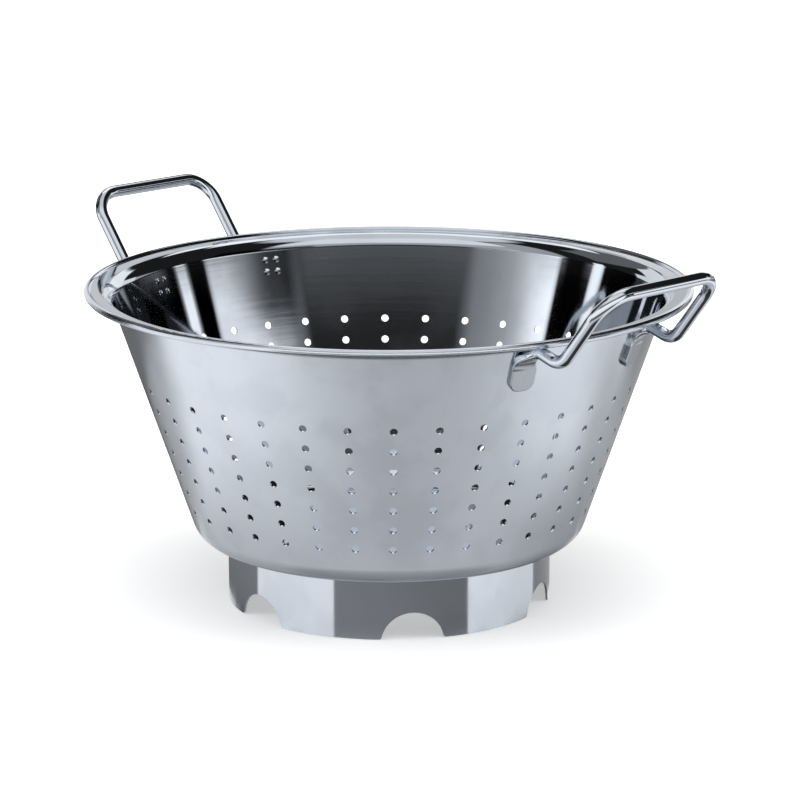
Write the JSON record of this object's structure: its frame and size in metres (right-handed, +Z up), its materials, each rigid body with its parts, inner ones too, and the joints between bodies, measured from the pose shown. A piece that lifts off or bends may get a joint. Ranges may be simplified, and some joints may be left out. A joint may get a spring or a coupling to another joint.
{
  "type": "colander",
  "caption": "Deep round steel colander with straight sloping perforated wall, rolled flange, notched foot ring and a raised wire handle on each side.",
  "frame": {"origin": "on the table, under the middle of the bowl", "axes": "+Z up along the bowl's axis, +X through the middle of the right handle"},
  "size_m": [0.3428, 0.28, 0.1746],
  "materials": {
    "steel_sheet": "satin outside, polished inside",
    "brushed_foot": "brushed",
    "polished_wire": "polished",
    "weld_steel": "satin"
  },
  "bodies": {
    "root": {"bowl": "steel_sheet", "foot_ring": "brushed_foot", "right_handle": "polished_wire", "left_handle": "polished_wire", "right_handle_weld_spots": "weld_steel", "left_handle_weld_spots": "weld_steel", "foot_weld_spots": "weld_steel"}
  },
  "joints": []
}
